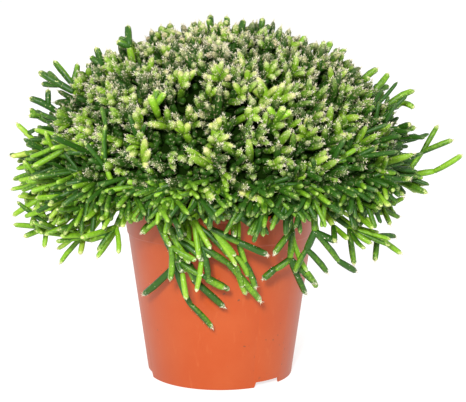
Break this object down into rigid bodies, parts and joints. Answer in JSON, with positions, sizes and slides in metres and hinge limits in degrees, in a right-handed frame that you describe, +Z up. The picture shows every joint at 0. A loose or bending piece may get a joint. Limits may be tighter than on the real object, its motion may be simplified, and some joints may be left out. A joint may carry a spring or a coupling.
{
  "type": "potted rhipsalis burchellii",
  "caption": "Bushy jointed mistletoe cactus with a dense pale-tipped crown and trailing stems, in a terracotta plastic nursery pot.",
  "frame": {"origin": "on the pot's axis, in the plane that the pot stands on, at the middle of its centre foot", "axes": "+Z up along the pot's axis; -Y is the front that the picture shows, +X its right"},
  "size_m": [0.273, 0.2437, 0.222],
  "materials": {
    "terracotta_plastic": "satin",
    "peat": "matte",
    "crown_stem": "matte",
    "skirt_stem": "satin",
    "trailing_stem": "satin"
  },
  "bodies": {
    "root": {"pot": "terracotta_plastic", "soil": "peat", "crown_stem_1": "crown_stem", "crown_stem_2": "crown_stem", "crown_stem_3": "crown_stem", "crown_stem_4": "crown_stem", "crown_stem_5": "crown_stem", "crown_stem_6": "crown_stem", "crown_stem_7": "crown_stem", "crown_stem_8": "crown_stem", "crown_stem_9": "crown_stem", "crown_stem_10": "crown_stem", "crown_stem_11": "crown_stem", "crown_stem_12": "crown_stem", "crown_stem_13": "crown_stem", "crown_stem_14": "crown_stem", "crown_stem_15": "crown_stem", "crown_stem_16": "crown_stem", "crown_stem_17": "crown_stem", "crown_stem_18": "crown_stem", "skirt_stem_1": "skirt_stem", "skirt_stem_2": "skirt_stem", "skirt_stem_3": "skirt_stem", "skirt_stem_4": "skirt_stem", "skirt_stem_5": "skirt_stem", "skirt_stem_6": "skirt_stem", "skirt_stem_7": "skirt_stem", "skirt_stem_8": "skirt_stem", "skirt_stem_9": "skirt_stem", "skirt_stem_10": "skirt_stem", "skirt_stem_11": "skirt_stem", "skirt_stem_12": "skirt_stem", "skirt_stem_13": "skirt_stem", "skirt_stem_14": "skirt_stem", "skirt_stem_15": "skirt_stem", "skirt_stem_16": "skirt_stem", "skirt_stem_17": "skirt_stem", "skirt_stem_18": "skirt_stem", "skirt_stem_19": "skirt_stem", "skirt_stem_20": "skirt_stem", "trailing_stem_1": "trailing_stem", "trailing_stem_2": "trailing_stem", "trailing_stem_3": "trailing_stem", "trailing_stem_4": "trailing_stem", "trailing_stem_5": "trailing_stem", "trailing_stem_6": "trailing_stem", "trailing_stem_7": "trailing_stem", "trailing_stem_8": "trailing_stem"}
  },
  "joints": []
}
